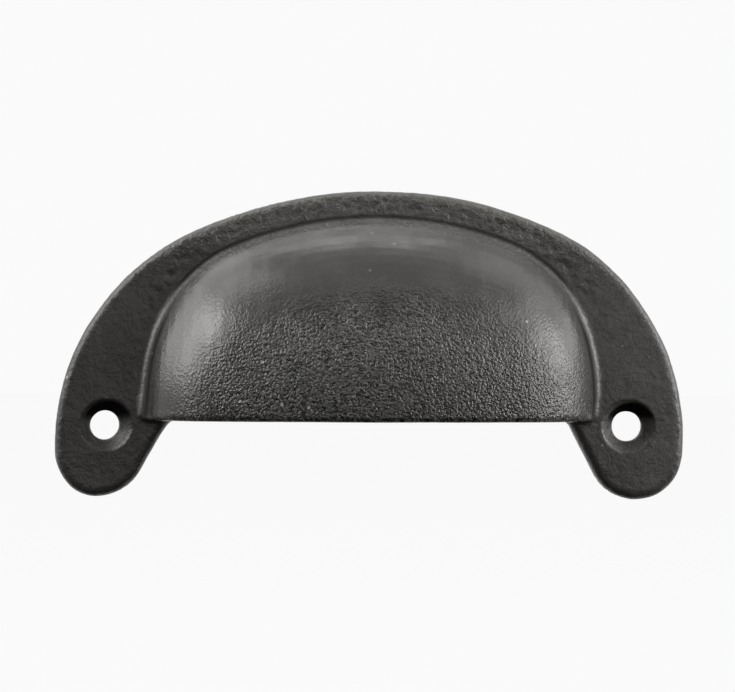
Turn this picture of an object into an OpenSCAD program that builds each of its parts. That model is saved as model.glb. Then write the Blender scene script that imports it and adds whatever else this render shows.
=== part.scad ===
/* [Flange] */
// Overall width of the pull
pull_w = 100; // [96:0.5:104]
// Height of the crown above the line of the screw holes
crown_h = 37.4; // [36:0.1:40]
// Drop of the ears below the line of the screw holes
ear_drop = 11.5; // [10.5:0.1:13]
// Thickness of the flange
flange_t = 3; // [2.6:0.1:4]
// Radius of the long arc over the crown
crown_r = 70.7; // [66:0.1:80]
// Radius of each shoulder
shoulder_r = 36.1; // [34:0.1:38]
// Radius of each ear's round end
ear_r = 7.5; // [7:0.1:8.5]
// Steepness of each ear's inner edge, in degrees
ear_slope = 62.7; // [60:0.1:70]
// Radius of the soft front edge of the flange
edge_r = 1.5; // [0.8:0.1:2]
// Radius of the inner corner between each ear and the lip of the cup
corner_r = 1.5; // [1:0.1:2]

/* [Cup] */
// Outer width of the cup at its widest plane
cup_w = 72.8; // [71:0.1:74]
// Height of the cup from its lip to its root on the flange, under the crown
cup_h = 32.1; // [30:0.1:33]
// Distance of the cup's widest plane behind the drawer front, which makes the walls lean in
set_back = 6; // [3:0.5:8]
// Height of the lip above the line of the screw holes
lip_z = 0.8; // [0:0.1:2]
// Distance that the cup stands out from the drawer front
projection = 19; // [17:0.5:24]
// Radius of the long arc over the top of the cup
cup_crown_r = 64; // [58:0.1:74]
// Radius of each upper corner of the cup
cup_shoulder_r = 21.8; // [18:0.1:24]
// Thickness of the cup's front and top
wall = 3.2; // [2.6:0.1:4]
// Thickness of the cup's sides, at its widest plane
side_wall = 6; // [5.8:0.1:7]
// Radius of the soft edges of the lip
lip_r = 0.8; // [0.4:0.1:1.2]
// Radius of the fillet between the cup and the flange
root_r = 1.2; // [1:0.1:2.4]

/* [Screw holes] */
// Distance between the centres of the two screw holes
hole_spacing = 83.1; // [82:0.1:85]
// Diameter of each screw hole
hole_d = 4.7; // [4:0.1:5.2]
// Diameter of each countersink at the face of the flange
sink_d = 8.4; // [7:0.1:9]
// Depth of each countersink
sink_depth = 1.9; // [1:0.1:2.2]

/* [Hidden] */

// Most that a facet of the flange may stand away from its true arc
arc_error = 0.02;
// Facets along each shoulder of the cup, and along each half of its crown
cup_steps = [14, 8];
// Facets along the root fillet and the lip, from one side of the cup to the other
row_steps = 56;
// Facets round each soft edge and fillet
round_steps = 5;
// Width of the band that carries the flange's soft edge
band_w = 4;
// How far joined pieces run into each other, and cuts run past a face
lap = 1;
// How far the root fillet sinks into the two faces that it joins
fillet_sink = 0.1;
// How far the lip's soft edge stands inside the faces of the wall
lip_inset = 0.05;

function unit(v) = v / norm(v);
function angle_from(a, b) = atan2(b.y - a.y, b.x - a.x);
function without_first(points) = [for (i = [1:len(points) - 1]) points[i]];

// Points along an arc about c from angle a0 to a1, in n steps
function arc(c, r, a0, a1, n) =
    [for (i = [0:n]) let (a = a0 + (a1 - a0) * i / n) c + r * [cos(a), sin(a)]];

function steps(r, sweep) = ceil(abs(sweep) / (2 * acos(1 - arc_error / r)));

// A right half that ends on the middle line, followed by its mirror image
function both_halves(half) =
    concat(half, [for (i = [len(half) - 2:-1:0]) [-half[i].x, half[i].y]]);

// Centre of the circle of radius r that touches x = side and, from inside, a crown's arc
function shoulder_centre(side, r, top_c, top_r) =
    [side - r, top_c.y + sqrt(pow(top_r - r, 2) - pow(side - r, 2))];

// Seen from the front, the flange's outline is a chain of arcs that touch each other
crown_c = [0, crown_h - crown_r];
shoulder_c = shoulder_centre(pull_w / 2, shoulder_r, crown_c, crown_r);
shoulder_a = angle_from(crown_c, shoulder_c);
ear_y = ear_r - ear_drop;
ear_c = [
    shoulder_c.x + sqrt(pow(shoulder_r - ear_r, 2) - pow(ear_y - shoulder_c.y, 2)),
    ear_y
];
ear_a = angle_from(shoulder_c, ear_c);
inner_a = 90 - ear_slope;
corner_y = lip_z - corner_r;
corner_c = [
    ear_c.x - (ear_r + corner_r + (corner_y - ear_y) * sin(inner_a)) / cos(inner_a),
    corner_y
];

// The flange's outline moved in by d, from one corner of the lip round to the other
function flange_outline(d) =
    let (ear_sweep = [180 + inner_a, 360 + ear_a])
    both_halves(concat(
        arc(corner_c, corner_r + d, 90, inner_a, round_steps),
        arc(ear_c, ear_r - d, ear_sweep[0], ear_sweep[1], steps(ear_r, ear_sweep[1] - ear_sweep[0])),
        without_first(arc(shoulder_c, shoulder_r - d, ear_a, shoulder_a,
            steps(shoulder_r, shoulder_a - ear_a))),
        without_first(arc(crown_c, crown_r - d, shoulder_a, 90, steps(crown_r, 90 - shoulder_a)))
    ));

// The cup swings about an axis just over its lip, where the lip's soft edges begin, on its widest
// plane. A size is half the width, the height above that axis and the depth from that plane.
axis_z = lip_z + lip_r;
depth = projection + set_back;
// Part of its full height that the cup still has at the face of the flange
root_share = sqrt(1 - pow((flange_t + set_back) / depth, 2));
skin_size = [cup_w / 2, (cup_h - lip_r) / root_share, depth];
hollow_size = skin_size - [side_wall, wall, wall];

// Outline of the cup above its axis: a side, a shoulder's arc and half a crown's arc.
// The radii of the arcs are less by inset.
function shoulder_of(size, inset) =
    shoulder_centre(size.x, cup_shoulder_r - inset, [0, size.y - cup_crown_r + inset], cup_crown_r - inset);

function cup_outline(size, inset) =
    let (top_r = cup_crown_r - inset,
         top_c = [0, size.y - top_r],
         side_c = shoulder_of(size, inset),
         a = angle_from(top_c, side_c))
    both_halves(concat(
        [[size.x, 0]],
        arc(side_c, cup_shoulder_r - inset, 0, a, cup_steps[0]),
        without_first(arc(top_c, top_r, a, 90, cup_steps[1]))
    ));

// Half the width of that outline at the height r
function half_width(size, inset, r) =
    let (top_r = cup_crown_r - inset,
         top_c = [0, size.y - top_r],
         side_r = cup_shoulder_r - inset,
         side_c = shoulder_of(size, inset),
         a = angle_from(top_c, side_c))
    r < side_c.y ? size.x :
    r < side_c.y + side_r * sin(a) ? side_c.x + sqrt(pow(side_r, 2) - pow(r - side_c.y, 2)) :
    sqrt(max(0, pow(top_r, 2) - pow(r - top_c.y, 2)));

// Solid through loops of points, closed by its end loops, or with its last loop joined to its first
module loft(loops, ring = false) {
    rows = len(loops);
    n = len(loops[0]);
    sides = [for (i = [0:rows - (ring ? 1 : 2)], j = [0:n - 1])
        let (a = i * n, b = (i + 1) % rows * n, k = (j + 1) % n)
        [a + j, a + k, b + k, b + j]];
    ends = [[for (j = [n:-1:1]) j % n], [for (j = [0:n - 1]) (rows - 1) * n + j]];
    polyhedron(points = [for (loop = loops) each loop], faces = concat(sides, ring ? [] : ends));
}

// Plate under the whole outline, with its soft front edge on a band of its own
module flange() {
    band_section = concat(
        [[band_w, 0], [band_w, flange_t]],
        arc([edge_r, flange_t - edge_r], edge_r, 90, 180, round_steps),
        [[0, 0]]
    );
    loft([for (s = band_section) [for (p = flange_outline(s.x)) [p.x, p.y, s.y]]], ring = true);
    linear_extrude(flange_t) polygon(flange_outline(band_w / 2));
}

// An outline swung forward about the cup's axis through a quarter turn, squashed to its depth
module quarter_dome(size, inset) {
    translate([0, axis_z, -set_back])
        scale([1, 1, size.z / size.y])
        rotate([90, 0, 90])
        rotate_extrude(angle = 90)
        polygon([for (p = cup_outline(size, inset)) [p.y, p.x]]);
}

// The part of the cup's outer form that stands in front of the back
module skin() {
    intersection() {
        quarter_dome(skin_size, 0);
        translate([-cup_w / 2 - lap, axis_z - lap, 0]) cube([cup_w + 2 * lap, skin_size.y + 2 * lap, depth]);
    }
}

// Concave fillet on the flange all round the cup's root
module root_fillet() {
    section = concat(
        [[-lap, -lap]],
        arc([root_r, root_r] - fillet_sink * [1, 1], root_r, 270, 180, round_steps)
    );
    // The skin leans in as it rises, so each point of the section follows it at its own height
    function skin_at(i, z) =
        let (a = 180 * i / row_steps,
             r0 = (z + set_back) * skin_size.y / skin_size.z,
             y = sqrt(pow(skin_size.y, 2) - pow(r0, 2)) * sin(a),
             x = half_width(skin_size, 0, norm([y, r0])))
        [a < 90 ? x : -x, y];
    function outward(i) =
        i == 0 ? [1, 0] : i == row_steps ? [-1, 0] :
        let (d = unit(skin_at(i + 1, flange_t) - skin_at(i - 1, flange_t))) [d.y, -d.x];
    loft([for (i = [0:row_steps]) [for (s = section)
        let (p = skin_at(i, flange_t + max(0, s.y)) + s.x * outward(i))
        [p.x, axis_z + p.y, flange_t + s.y]]]);
}

// Lip with soft edges, from the wall's outer face to its inner face
module lip() {
    function on_lip(i, size, inset) =
        let (start = asin((set_back + lap) / size.z),
             a = start + (180 - 2 * start) * i / row_steps,
             x = half_width(size, inset, size.y * sin(a)))
        [a < 90 ? x : -x, size.z * sin(a) - set_back];
    edge = arc([lip_r + lip_inset, 0], lip_r, 180, 270, round_steps);
    half_section = concat([[lip_inset, lap]], edge);
    loft([for (i = [0:row_steps])
        let (out = on_lip(i, skin_size, 0),
             in = on_lip(i, hollow_size, wall),
             across = unit(in - out),
             outer = [for (s = half_section) let (p = out + s.x * across) [p.x, axis_z + s.y, p.y]],
             inner = [for (s = half_section) let (p = in - s.x * across) [p.x, axis_z + s.y, p.y]])
        concat(outer, [for (j = [len(inner) - 1:-1:0]) inner[j]])]);
}

// Way out of the hollow through the flange, down past the lip
module mouth() {
    translate([-hollow_size.x, lip_z - lap, -lap])
        cube([2 * hollow_size.x, lip_r + 2 * lap, flange_t + 2 * lap]);
}

module screw_hole() {
    translate([0, 0, -lap]) cylinder(h = flange_t + 2 * lap, d = hole_d, $fn = 48);
    translate([0, 0, flange_t - sink_depth])
        cylinder(h = sink_depth, d1 = hole_d, d2 = sink_d, $fn = 48);
}

// The casting is drawn face up, then stood against the drawer front
module cup_pull() {
    color("DimGray") rotate([90, 0, 0]) difference() {
        union() {
            flange();
            skin();
            root_fillet();
            lip();
        }
        quarter_dome(hollow_size, wall);
        mouth();
        for (side = [-1, 1]) translate([side * hole_spacing / 2, 0, 0]) screw_hole();
    }
}

cup_pull();
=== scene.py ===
"""A black cast-iron cup pull, square-on, as one casting with its cast texture and satin paint."""

import math

import bmesh
import bpy
import numpy as np
from mathutils import Matrix, Vector


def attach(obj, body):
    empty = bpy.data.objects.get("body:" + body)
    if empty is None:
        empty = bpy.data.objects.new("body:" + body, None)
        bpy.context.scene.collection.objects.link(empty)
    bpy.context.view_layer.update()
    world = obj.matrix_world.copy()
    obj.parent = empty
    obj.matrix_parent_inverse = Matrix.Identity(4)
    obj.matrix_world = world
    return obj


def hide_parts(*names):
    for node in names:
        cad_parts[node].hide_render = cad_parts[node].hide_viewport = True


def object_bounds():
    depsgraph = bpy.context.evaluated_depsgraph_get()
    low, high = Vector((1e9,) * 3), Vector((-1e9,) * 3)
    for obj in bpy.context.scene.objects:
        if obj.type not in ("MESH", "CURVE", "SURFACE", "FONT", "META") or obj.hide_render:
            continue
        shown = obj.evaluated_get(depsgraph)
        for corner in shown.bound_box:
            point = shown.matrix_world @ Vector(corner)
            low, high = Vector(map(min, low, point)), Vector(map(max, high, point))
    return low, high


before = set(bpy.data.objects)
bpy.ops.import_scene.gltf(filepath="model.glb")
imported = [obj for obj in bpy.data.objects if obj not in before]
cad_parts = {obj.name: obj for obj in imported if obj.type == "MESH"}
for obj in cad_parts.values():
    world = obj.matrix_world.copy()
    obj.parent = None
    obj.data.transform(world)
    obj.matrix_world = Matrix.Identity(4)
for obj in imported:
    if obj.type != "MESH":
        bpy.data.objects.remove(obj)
cad_low, cad_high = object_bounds()
scene = bpy.context.scene

MM = 0.001

# Sizes of the CAD solid that the looks follow, in mm
HALF_WIDTH = 50.0
MIDDLE_Z = 12.0
HALF_HEIGHT = 25.0
FLANGE_T = 3.0
HOLE_X = 41.55
# Height of the axis that the cup's outline swings about
AXIS_Z = 1.6
# Distance from that axis at which the cup meets the flange at its foot
ROOT_SWING = 12.08
# Height of the cup's root above that axis, under the crown
CUP_RISE = 31.3
# Arcs of the cup's outline, measured across it and out from the axis
SHOULDER_R = 21.8
SHOULDER_C = (14.6, 9.14)
CROWN_R = 64.0
CROWN_C = -30.45
# Distance out from the axis at which the shoulder gives way to the crown
SHOULDER_END = 29.6

# Size of the mesh's cells, in mm
FINE_CELL = 0.30
# Most triangles that the mesh may have
MOST_TRIANGLES = 194000
# Rearward part of a normal from which the mesh is thinned there
REARWARD = 0.5


# Helpers
def add(obj):
    scene.collection.objects.link(obj)
    return obj


def rows(items, field):
    """One row of three numbers for each item of a mesh."""
    flat = np.empty(len(items) * 3, np.float32)
    items.foreach_get(field, flat)
    return flat.reshape(-1, 3).astype(float)


def coords(mesh):
    return rows(mesh.vertices, "co")


def normals(mesh):
    return rows(mesh.vertex_normals, "vector")


def set_coords(mesh, points):
    mesh.vertices.foreach_set("co", points.astype(np.float32).ravel())
    mesh.update()


def mesh_value(mesh, name, values):
    """Stores one number for each vertex, for the material to read."""
    mesh.attributes.new(name, "FLOAT", "POINT").data.foreach_set("value", values.astype(np.float32))


def triangles(mesh):
    return sum(len(polygon.vertices) - 2 for polygon in mesh.polygons)


def applied(work):
    """The mesh that an object's modifiers make of it. The object itself goes."""
    graph = bpy.context.evaluated_depsgraph_get()
    made = bpy.data.meshes.new_from_object(work.evaluated_get(graph))
    bpy.data.objects.remove(work)
    return made


def smooth_step(low, high, value):
    t = np.clip((value - low) / (high - low), 0.0, 1.0)
    return t * t * (3 - 2 * t)


def hump(value, middle, width):
    """1 in the middle, and soft to 0 on both sides."""
    return np.exp(-(((value - middle) / width) ** 2))


class Lattice:
    """Smooth noise from -1 to 1, the same on each run, on a lattice with cells of one size, in mm.
    Each seed gives its own."""

    def __init__(self, seed, cell, size=32):
        self.cell, self.size = cell * MM, size
        self.values = np.random.RandomState(seed).uniform(-1, 1, (size, size, size))

    def __call__(self, points):
        at = points / self.cell
        base = np.floor(at).astype(int)
        part = at - base
        part = part * part * (3 - 2 * part)
        total = np.zeros(len(points))
        for dx in (0, 1):
            for dy in (0, 1):
                for dz in (0, 1):
                    weight = np.ones(len(points))
                    for axis, step in enumerate((dx, dy, dz)):
                        weight *= part[:, axis] if step else 1 - part[:, axis]
                    i, j, k = ((base + (dx, dy, dz)) % self.size).T
                    total += weight * self.values[i, j, k]
        return total


# The casting
def cast_mesh(node, cell):
    """The CAD solid as one even mesh of small cells."""
    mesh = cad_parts[node].data.copy()
    mesh.materials.clear()
    welded = bmesh.new()
    welded.from_mesh(mesh)
    bmesh.ops.remove_doubles(welded, verts=welded.verts, dist=1e-6)
    welded.to_mesh(mesh)
    welded.free()
    work = add(bpy.data.objects.new("work", mesh))
    remesh = work.modifiers.new("even", "REMESH")
    remesh.mode = "VOXEL"
    remesh.voxel_size = cell * MM
    remesh.use_smooth_shade = True
    return thin_rear(applied(work))


def thin_rear(mesh):
    """Fewer triangles on the back and in the hollow, so that the face keeps its fine ones."""
    if triangles(mesh) <= MOST_TRIANGLES:
        return mesh
    work = add(bpy.data.objects.new("work", mesh))
    rear = work.vertex_groups.new(name="rear")
    rear.add(np.flatnonzero(normals(mesh)[:, 1] > REARWARD).tolist(), 1.0, "REPLACE")
    thin = work.modifiers.new("thin", "DECIMATE")
    thin.ratio = MOST_TRIANGLES / triangles(mesh)
    thin.vertex_group = rear.name
    return applied(work)


def even_out(mesh, rounds, pull=0.5, push=-0.53):
    """Takes the cells' steps off the mesh, without shrinking it."""
    points = coords(mesh)
    edges = np.empty(len(mesh.edges) * 2, np.int32)
    mesh.edges.foreach_get("vertices", edges)
    a, b = edges.reshape(-1, 2).T
    count = np.bincount(a, minlength=len(points)) + np.bincount(b, minlength=len(points))
    for _ in range(rounds):
        for step in (pull, push):
            total = np.empty_like(points)
            for axis in range(3):
                total[:, axis] = (np.bincount(a, points[b, axis], len(points))
                                  + np.bincount(b, points[a, axis], len(points)))
            points += step * (total / count[:, None] - points)
    set_coords(mesh, points)


def half_chord(radius, offset):
    """Half the width of a circle at a distance from its centre."""
    return np.sqrt(np.clip(radius**2 - offset**2, 0, None))


def from_root(points):
    """Distance in mm, seen from the front, from the line where the cup meets the flange.
    It is less than 0 on the cup."""
    up = CUP_RISE * np.sin(np.linspace(0.0, np.pi / 2, 200))
    swing = np.hypot(up, ROOT_SWING)
    shoulder = SHOULDER_C[0] + half_chord(SHOULDER_R, swing - SHOULDER_C[1])
    crown = half_chord(CROWN_R, swing - CROWN_C)
    across = np.where(swing < SHOULDER_END, shoulder, crown)

    seen_at = np.column_stack((np.abs(points[:, 0]), points[:, 2])) / MM - (0.0, AXIS_Z)
    least = np.full(len(points), np.inf)
    for spot in np.column_stack((across, up)):
        least = np.minimum(least, np.hypot(*(seen_at - spot).T))
    height = np.clip(seen_at[:, 1], 0.0, CUP_RISE)
    on_cup = (seen_at[:, 0] < np.interp(height, up, across)) & (seen_at[:, 1] < CUP_RISE)
    return np.where(on_cup, -least, least)


def settle(points):
    """The real casting is a little askew: its crown leans right and its right ear hangs lower.
    The amounts are in mm, from a fit to the photo's outline."""
    points = points.copy()
    across = points[:, 0] / (HALF_WIDTH * MM)
    up = (points[:, 2] / MM - MIDDLE_Z) / HALF_HEIGHT
    lean = 0.29 * up - 0.15 * across + 0.22 * across**2 - 0.39 * across * up - 0.11 * up**2
    lift = 0.30 * across + 0.55 * across * up
    points[:, 0] += lean * MM
    points[:, 2] += lift * MM

    # both screw holes sit a little to the left, the left one with its ear and at a slant
    x, z = points[:, 0] / MM, points[:, 2] / MM
    behind = np.clip(1 + points[:, 1] / (FLANGE_T * MM), 0, 1)
    ear = smooth_step(-49.5, -45.0, x) * (1 - smooth_step(-34.0, -28.0, x))
    ear *= 1 - smooth_step(-2.0, 3.0, z)
    for side, shift, slant in ((-1, 0.25, 0.35), (1, 0.5, 0.0)):
        by_hole = 1 - smooth_step(4.8, 8.0, np.hypot(x - side * HOLE_X, z))
        points[:, 0] -= by_hole * (shift + slant * behind) * MM
        ear = ear * (1 - by_hole)
    points[:, 0] -= ear * 0.5 * MM
    return points


def fit_between(points, low, high):
    """Moves and scales the points so that they just fill the box."""
    low, high = np.array(low), np.array(high)
    least, most = points.min(0), points.max(0)
    return low + (points - least) * (high - low) / (most - least)


def roughen(mesh):
    """Sand-cast unevenness, strong on the flange and slight on the cup, and where the paint gets
    painted shade and a painted highlight.
    All lengths are in mm."""
    points, out = coords(mesh), normals(mesh)
    depth, height, away = -points[:, 1] / MM, points[:, 2] / MM, from_root(points)
    flange = 1 - smooth_step(3.2, 5.0, depth)
    front = flange * smooth_step(1.2, 2.2, depth)
    back = smooth_step(-0.4, 0.2, 0.2 - depth)

    # long waves and small pits
    wave = Lattice(11, 9.0)(points) * 0.10 + Lattice(12, 4.3)(points) * 0.07
    pits = Lattice(13, 1.9)(points) * 0.045 + Lattice(14, 1.1)(points) * 0.03
    amount = wave * (0.25 + 0.75 * flange) + pits * (0.15 + 0.60 * flange)

    # rough skin along the middle of the flange, from shoulder to shoulder, on turned lattices
    ridge = hump(away, 2.4, 1.1) * front * smooth_step(14.0, 24.0, height)
    skew = points @ np.array([[0.8, 0, 0.6], [0, 1, 0], [-0.6, 0, 0.8]])
    amount += ridge * (Lattice(15, 0.9)(skew) * 0.20 + Lattice(16, 2.1)(skew) * 0.13 - 0.06)

    # painted shade on the foot of the cup's sides and in the crease under the crown
    face, above_lip = smooth_step(2.0, 2.8, depth), smooth_step(0.4, 2.0, height)
    foot = hump(away, -0.75, 0.45) * (1 - smooth_step(14.0, 24.0, height))
    crease = hump(away, 0.45, 0.40) * smooth_step(17.0, 24.0, height)
    mesh_value(mesh, "painted_shade", np.clip((foot + crease) * above_lip * face, 0, 1))

    # a painted highlight along the root of the cup's sides
    painted_highlight = hump(away, 0.3, 0.28) * (1 - smooth_step(16.0, 24.0, height))
    mesh_value(mesh, "painted_highlight", painted_highlight * smooth_step(0.4, 3.0, height) * face)

    # the skin lies a little under the solid's, and the back is nearly flat
    amount = (amount - 0.06) * (1 - 0.85 * back)
    points = settle(points + out * amount[:, None] * MM)
    set_coords(mesh, fit_between(points, cad_low, cad_high))


mesh = cast_mesh("cup_pull", FINE_CELL)
even_out(mesh, rounds=4)
roughen(mesh)
mesh.name = "casting"
for polygon in mesh.polygons:
    polygon.use_smooth = True
print("casting triangles", triangles(mesh))
casting = add(bpy.data.objects.new("casting", mesh))


# Materials
def new_material(name):
    material = bpy.data.materials.new(name)
    material.use_nodes = True
    material.node_tree.nodes.clear()
    return material, Graph(material.node_tree)


class Graph:
    """Short names for building a node tree."""

    def __init__(self, tree):
        self.tree = tree

    def put(self, socket, value):
        """Links a socket, or sets a plain value."""
        if isinstance(value, bpy.types.NodeSocket):
            self.tree.links.new(value, socket)
        else:
            socket.default_value = value

    def node(self, kind, inputs=(), **settings):
        made = self.tree.nodes.new(kind)
        for key, value in settings.items():
            setattr(made, key, value)
        for key, value in dict(inputs).items():
            self.put(made.inputs[key], value)
        return made

    def noise(self, vector, size, detail=2.0, roughness=0.5, distortion=0.0):
        """Noise with lumps of one size, in mm."""
        return self.node("ShaderNodeTexNoise", {
            "Vector": vector, "Scale": 1 / (size * MM), "Detail": detail,
            "Roughness": roughness, "Distortion": distortion}).outputs["Fac"]

    def math(self, operation, a, b=0.0):
        return self.node("ShaderNodeMath", {0: a, 1: b}, operation=operation).outputs[0]

    def times(self, first, *others):
        for other in others:
            first = self.math("MULTIPLY", first, other)
        return first

    def plus(self, a, b):
        return self.math("ADD", a, b)

    def length(self, a, b):
        return self.math("SQRT", self.plus(self.times(a, a), self.times(b, b)))

    def band(self, value, low, high, to_low=0.0, to_high=1.0):
        """Runs smoothly from to_low to to_high, as the value goes from low to high."""
        return self.node("ShaderNodeMapRange", {
            "Value": value, "From Min": low, "From Max": high,
            "To Min": to_low, "To Max": to_high}, interpolation_type="SMOOTHSTEP").outputs["Result"]

    def mix(self, factor, a, b):
        """A colour between a and b."""
        made = self.node("ShaderNodeMix", data_type="RGBA")
        for socket, value in ((0, factor), (6, a), (7, b)):
            self.put(made.inputs[socket], value)
        return made.outputs[2]

    def stored(self, name):
        """A number that the mesh stores for each vertex."""
        return self.node("ShaderNodeAttribute", attribute_name=name).outputs["Fac"]


# The paint, and the sand grain in it, each run between two colours
PAINT = ((0.031, 0.029, 0.027, 1), (0.043, 0.041, 0.038, 1))
SAND = ((0.006, 0.006, 0.006, 1), (0.085, 0.083, 0.080, 1))
# Painted light: paler paint on the flange's right half and crown
PAINTED_LIGHT = (0.089, 0.085, 0.080, 1)
# Painted shade for the creases, the foot of the cup and the tops of the countersinks
PAINTED_SHADE = (0.004, 0.004, 0.004, 1)
# Painted highlight along the root of the cup's sides
PAINTED_HIGHLIGHT = (0.16, 0.155, 0.15, 1)
BARE = (0.30, 0.30, 0.30, 1)
# The grain fades with the distance from the middle of the lip, over this reach in mm
GRAIN_ACROSS = 41.0
GRAIN_UP = 20.0
# Share with which the height counts in that distance
UP_SHARE = 0.65


def grainy_area(g, where, x, z):
    """The paint lies smooth round the top and the sides of the cup, and grainy over its front."""
    across = g.times(x, 1 / GRAIN_ACROSS)
    up = g.times(g.math("SUBTRACT", z, AXIS_Z), 1 / GRAIN_UP)
    ring = g.length(across, g.times(up, math.sqrt(UP_SHARE)))
    ring = g.plus(ring, g.times(g.noise(where, 6.0, 2.0, 0.5), 0.35))
    ring = g.math("SUBTRACT", ring, g.times(across, 0.08))
    return g.times(g.band(ring, 0.66, 1.06, 1.0, 0.14), g.band(up, 0.96, 1.16, 1.0, 0.20))


def painted_light_area(g, where, x, z, on_cup):
    """Paler, patchy paint on the right half of the flange and on its crown: painted light, as if
    lit from the right and from above.
    """
    painted_light = g.plus(g.band(x, 5.0, 42.0, 0.0, 0.5), g.band(z, 24.0, 35.0, 0.0, 0.8))
    painted_light = g.times(painted_light, g.band(g.noise(where, 2.6, 3.0, 0.6), 0.3, 0.7, 0.6, 1.2))
    return g.times(g.math("MINIMUM", painted_light, 1.0), g.math("SUBTRACT", 1.0, on_cup))


def painted_shade_area(g, x, z, depth):
    """Painted shade, darker and duller, where the mesh says and on the upper part of each
    countersink.
    """
    from_hole = g.length(g.math("SUBTRACT", g.math("ABSOLUTE", x), HOLE_X), z)
    sink = g.times(g.band(from_hole, 3.7, 4.4, 1.0, 0.0), g.band(z, 0.2, 2.2),
                   g.band(depth, 0.4, 1.0))
    return g.math("MAXIMUM", sink, g.times(g.stored("painted_shade"), 0.8))


def bare_area(g, where, z, on_cup):
    """A few pale specks, least on the top of the cup, and a little wear along the lip."""
    dots = g.node("ShaderNodeTexVoronoi", {"Vector": where, "Scale": 1 / (3.4 * MM)}).outputs
    chance = g.node("ShaderNodeSeparateColor", {"Color": dots["Color"]}).outputs[0]
    speck = g.times(g.band(dots["Distance"], 0.05, 0.10, 1.0, 0.0), g.band(chance, 0.66, 0.72),
                    g.band(z, 17.6, 21.6, 1.0, 0.25))
    worn = g.times(g.band(z, 0.9, 1.7, 1.0, 0.0), on_cup,
                   g.band(g.noise(where, 0.7, 3.0, 0.7), 0.53, 0.62))
    return g.math("MAXIMUM", speck, g.times(worn, 0.5))


def black_paint():
    """Satin black paint over cast iron. All lengths are in mm."""
    material, g = new_material("black_iron")
    where = g.node("ShaderNodeTexCoord").outputs["Object"]
    apart = g.node("ShaderNodeSeparateXYZ", {"Vector": where})
    x, y, z = (g.times(part, 1 / MM) for part in apart.outputs)
    depth = g.times(y, -1.0)
    on_cup = g.band(depth, 3.4, 6.0)
    grainy = grainy_area(g, where, x, z)
    painted_shade = painted_shade_area(g, x, z, depth)

    # fine grain on the cup, and coarser skin on the flange, most of it on the crown
    grain = g.noise(where, 0.42, 1.4, 0.6)
    skin = g.noise(where, 0.9, 3.0, 0.6, 0.3)
    height = g.node("ShaderNodeMix", {
        0: on_cup, 2: g.times(skin, g.band(z, 22.0, 30.0, 0.18, 0.42)),
        3: g.times(grain, 0.34, grainy)}).outputs[0]
    bump = g.node("ShaderNodeBump", {"Height": height, "Strength": 1.0, "Distance": MM}).outputs[0]

    colour = g.mix(g.band(g.noise(where, 5.0, 3.0, 0.6), 0.35, 0.7), *PAINT)
    # painted light on the right of the flange and on its crown
    colour = g.mix(painted_light_area(g, where, x, z, on_cup), colour, PAINTED_LIGHT)
    colour = g.mix(g.times(grainy, on_cup, 0.9), colour, g.mix(g.band(grain, 0.36, 0.62), *SAND))
    # painted shade in the creases, at the cup's foot and in the countersinks
    colour = g.mix(painted_shade, colour, PAINTED_SHADE)
    # painted highlight along the root of the sides
    colour = g.mix(g.times(g.stored("painted_highlight"), 0.7), colour, PAINTED_HIGHLIGHT)
    colour = g.mix(bare_area(g, where, z, on_cup), colour, BARE)

    # the sheen is satin on the cup, duller on the flange and gone under the painted shade
    satin = g.band(g.noise(where, 2.2, 3.0, 0.6), 0.3, 0.7, 0.18, 0.25)
    roughness = g.plus(satin, g.band(on_cup, 0.0, 1.0, 0.16, 0.0))
    roughness = g.math("MINIMUM", g.plus(roughness, g.times(painted_shade, 0.6)), 1.0)
    paint = g.node("ShaderNodeBsdfPrincipled", {
        "Base Color": colour, "Roughness": roughness, "Normal": bump, "IOR": 1.5,
        "Specular IOR Level": g.math("SUBTRACT", 0.5, g.times(painted_shade, 0.45))})
    g.node("ShaderNodeOutputMaterial", {"Surface": paint.outputs[0]})
    return material


casting.data.materials.append(black_paint())
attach(casting, "root")
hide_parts("cup_pull")


def toward(azimuth, elevation):
    """A direction from the object, in degrees: azimuth 0 is to its front and 90 is to its right."""
    a, e = math.radians(azimuth), math.radians(elevation)
    return Vector((math.sin(a) * math.cos(e), -math.cos(a) * math.cos(e), math.sin(e)))


# Camera, with its place from a fit to the photo's outline and screw holes
WIDTH_PX = 735
SENSOR = 36.0
PX_PER_MM = 6.275
DISTANCE = 520.0
AZIMUTH, ELEVATION, ROLL = -3.0, 0.0, 0.27
TARGET = Vector((-0.45, 0.0, 12.79)) * MM

camera = add(bpy.data.objects.new("camera", bpy.data.cameras.new("camera")))
camera.data.sensor_width = SENSOR
camera.data.lens = SENSOR * PX_PER_MM * DISTANCE / WIDTH_PX
back = toward(AZIMUTH, ELEVATION)
camera.location = TARGET + back * DISTANCE * MM
camera.rotation_mode = "QUATERNION"
roll = Matrix.Rotation(math.radians(ROLL), 3, "Z").to_quaternion()
camera.rotation_quaternion = (-back).to_track_quat("-Z", "Y") @ roll
camera.data.clip_start = 0.01
camera.data.clip_end = 20.0
scene.camera = camera

# Light and stage. Lengths are in metres
scene.view_settings.view_transform = "Standard"
# Background seen by the camera, the floor's share of it, and the room's glow on the object
PALE = 0.956
FLOOR_SHARE = 0.985
ROOM_GLOW = 0.3
# Every lamp looks at one point of the cup
WARM_WHITE = (1.0, 0.985, 0.965)
LAMP_AIM = Vector((0, 0, 0.012))
LAMP_DISTANCE = 0.8
FLOOR_REACH = 4.0
FLOOR_LEVEL = -0.055
# The card lies just over the floor from under the cup to behind the camera, and stands up there
CARD_HALF = 1.2
CARD_NEAR = 0.02
CARD_FAR = -0.9
CARD_TOP = 1.2
CARD_GAP = 0.001
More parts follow.
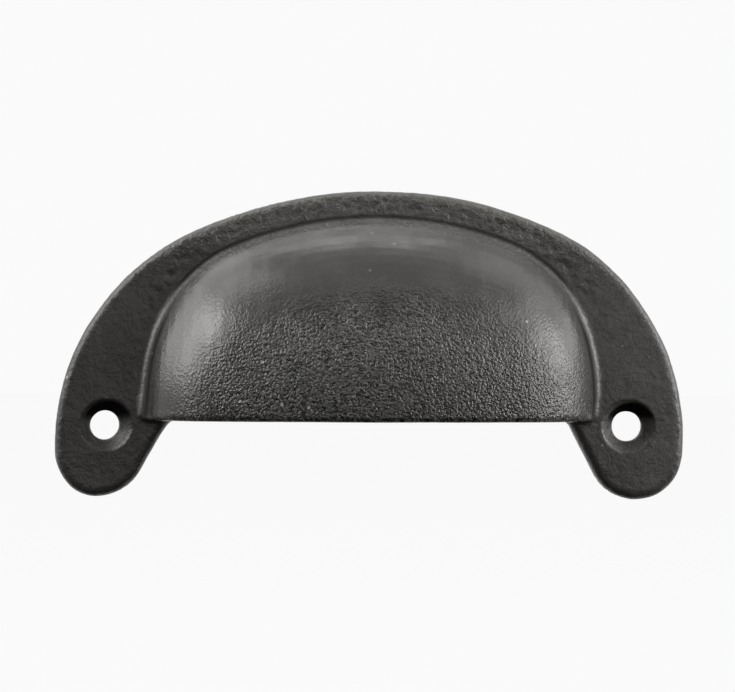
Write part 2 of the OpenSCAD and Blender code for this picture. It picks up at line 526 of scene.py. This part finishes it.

# Soft boxes: the span of azimuths and of elevations that each covers, and its radiance
# The radiances were fitted to the cup's brightness in the photo, then rounded and trimmed
PANELS = {
    "left_key": ((-68, -53), (28, 46), 8.6),
    "left_edge": ((-68, -53), (12, 28), 2.2),
    "left_side": ((-86, -68), (12, 46), 6.4),
    "near_left": ((-53, -40), (28, 46), 3),
    "left_high": ((-86, -53), (46, 68), 2.7),
    "far_left": ((-112, -86), (12, 46), 3),
    "far_left_high": ((-112, -86), (46, 68), 1.9),
    "back_left": ((-140, -112), (40, 66), 2.4),
    "right_key": ((68, 86), (-5, 28), 8.7),
    "right_edge": ((53, 68), (5, 28), 4.5),
    "right_side": ((40, 86), (28, 46), 3),
    "far_right": ((86, 112), (12, 28), 2.6),
    "far_right_mid": ((86, 112), (28, 46), 1.1),
    "right_high": ((68, 112), (46, 68), 1.2),
    "top_right": ((68, 112), (68, 86), 0.6),
    "top_back_right": ((112, 140), (68, 86), 2.3),
    "top_back": ((140, 194), (68, 86), 1.2),
    "top_back_mid": ((194, 220), (68, 86), 1.9),
    "top_back_left": ((220, 248), (68, 86), 2.7),
    "front_right": ((-10, 40), (-3, 12), 1.8)}


def panel(name, azimuths, elevations, radiance):
    """A soft box that covers a span of directions, in degrees, at an even radiance."""
    azimuth, elevation = sum(azimuths) / 2, sum(elevations) / 2
    half_across = math.radians(azimuths[1] - azimuths[0]) / 2 * math.cos(math.radians(elevation))
    half_up = math.radians(elevations[1] - elevations[0]) / 2
    lamp = add(bpy.data.objects.new(name, bpy.data.lights.new(name, "AREA")))
    lamp.data.shape = "RECTANGLE"
    lamp.data.size = 2 * LAMP_DISTANCE * math.tan(half_across)
    lamp.data.size_y = 2 * LAMP_DISTANCE * math.tan(half_up)
    lamp.data.energy = radiance * math.pi * lamp.data.size * lamp.data.size_y
    lamp.data.color = WARM_WHITE
    way = toward(azimuth, elevation)
    lamp.location = LAMP_AIM + way * LAMP_DISTANCE
    lamp.rotation_mode = "QUATERNION"
    lamp.rotation_quaternion = way.to_track_quat("Z", "Y")
    lamp.visible_camera = False


for name, values in PANELS.items():
    panel(name, *values)


def sheet(name, points, faces, material):
    """A flat or folded sheet of the stage."""
    mesh = bpy.data.meshes.new(name)
    mesh.from_pydata(points, [], faces)
    mesh.materials.append(material)
    return add(bpy.data.objects.new(name, mesh))


def seen(g):
    """1 for rays that show the background: from the camera, off gloss or through glass."""
    path = g.node("ShaderNodeLightPath").outputs
    off_gloss = g.math("MAXIMUM", path["Is Glossy Ray"], path["Is Transmission Ray"])
    return g.math("MAXIMUM", path["Is Camera Ray"], off_gloss)


def pale_floor():
    """White paper to the camera and in gloss, plain paper to the light, and clear from below."""
    material, g = new_material("floor")
    pale = g.node("ShaderNodeEmission", {"Color": (1, 1, 1, 1), "Strength": PALE * FLOOR_SHARE})
    matt = g.node("ShaderNodeBsdfDiffuse", {"Color": (0.012, 0.012, 0.012, 1)})
    glow = g.node("ShaderNodeAddShader", {0: pale.outputs[0], 1: matt.outputs[0]})
    paper = g.node("ShaderNodeBsdfDiffuse", {"Color": (0.8, 0.8, 0.8, 1)})
    top_side = g.node("ShaderNodeMixShader", {0: seen(g), 1: paper.outputs[0], 2: glow.outputs[0]})
    clear = g.node("ShaderNodeBsdfTransparent")
    both = g.node("ShaderNodeMixShader", {
        0: g.node("ShaderNodeNewGeometry").outputs["Backfacing"],
        1: top_side.outputs[0], 2: clear.outputs[0]})
    g.node("ShaderNodeOutputMaterial", {"Surface": both.outputs[0]})
    return material


def black_card():
    material, g = new_material("card")
    black = g.node("ShaderNodeBsdfDiffuse", {"Color": (0.02, 0.02, 0.02, 1)})
    g.node("ShaderNodeOutputMaterial", {"Surface": black.outputs[0]})
    return material


def studio():
    """A dim room for the light, and a pale backdrop to the camera and in gloss."""
    world = bpy.data.worlds.new("studio")
    world.use_nodes = True
    world.node_tree.nodes.clear()
    g = Graph(world.node_tree)
    room = g.node("ShaderNodeBackground", {"Color": (1, 1, 1, 1), "Strength": ROOM_GLOW})
    backdrop = g.node("ShaderNodeBackground", {"Color": (1, 1, 1, 1), "Strength": PALE})
    shown = g.node("ShaderNodeMixShader", {0: seen(g), 1: room.outputs[0], 2: backdrop.outputs[0]})
    g.node("ShaderNodeOutputWorld", {"Surface": shown.outputs[0]})
    return world


floor = sheet("floor", [
    (-FLOOR_REACH, -FLOOR_REACH, FLOOR_LEVEL), (FLOOR_REACH, -FLOOR_REACH, FLOOR_LEVEL),
    (FLOOR_REACH, FLOOR_REACH, FLOOR_LEVEL), (-FLOOR_REACH, FLOOR_REACH, FLOOR_LEVEL)],
    [(0, 1, 2, 3)], pale_floor())

scene.world = studio()

# the card's reflection keeps the front of the paint dark
foot = FLOOR_LEVEL + CARD_GAP
card = sheet("card", [
    (-CARD_HALF, CARD_NEAR, foot), (CARD_HALF, CARD_NEAR, foot),
    (CARD_HALF, CARD_FAR, foot), (-CARD_HALF, CARD_FAR, foot),
    (CARD_HALF, CARD_FAR, CARD_TOP), (-CARD_HALF, CARD_FAR, CARD_TOP)],
    [(0, 1, 2, 3), (3, 2, 4, 5)], black_card())
card.visible_camera = False
card.visible_shadow = False
